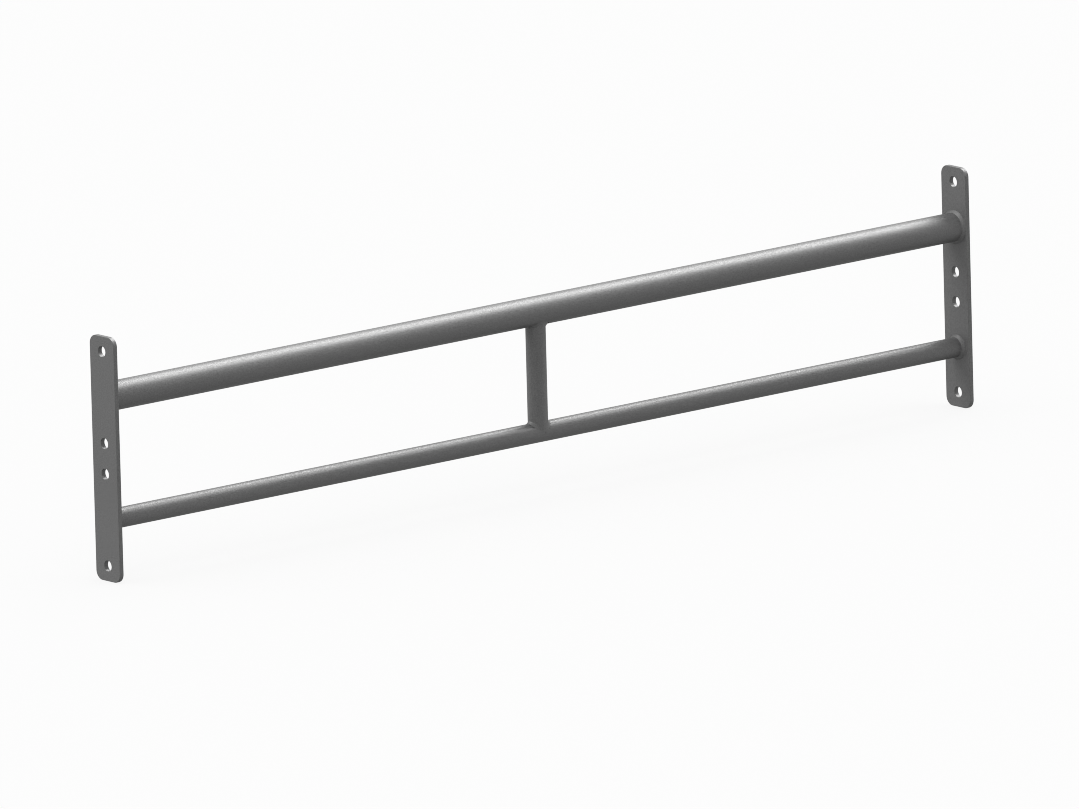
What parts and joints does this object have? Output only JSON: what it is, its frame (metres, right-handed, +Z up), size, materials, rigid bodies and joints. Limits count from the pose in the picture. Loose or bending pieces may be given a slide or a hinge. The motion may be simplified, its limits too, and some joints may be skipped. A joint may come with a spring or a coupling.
{
  "type": "kip bar",
  "caption": "Rig-mounted kip bar: a thick and a thin round grip bar, one above the other, welded between drilled end plates with an upright spacer tube at mid length.",
  "frame": {"origin": "middle of the object: half way between the end plates, at the centre of their bolt patterns", "axes": "+X along the bars from the left plate to the right plate, +Y across the plates' width, +Z up towards the thicker bar"},
  "size_m": [1.8, 0.06, 0.4],
  "materials": {
    "powder_coat": "satin powder coat, dark grey, fine grained"
  },
  "bodies": {
    "root": {"left_end_plate": "powder_coat", "right_end_plate": "powder_coat", "upper_bar": "powder_coat", "lower_bar": "powder_coat", "spacer_tube": "powder_coat", "upper_left_weld": "powder_coat", "upper_right_weld": "powder_coat", "lower_left_weld": "powder_coat", "lower_right_weld": "powder_coat", "spacer_upper_weld": "powder_coat", "spacer_lower_weld": "powder_coat"}
  },
  "joints": []
}
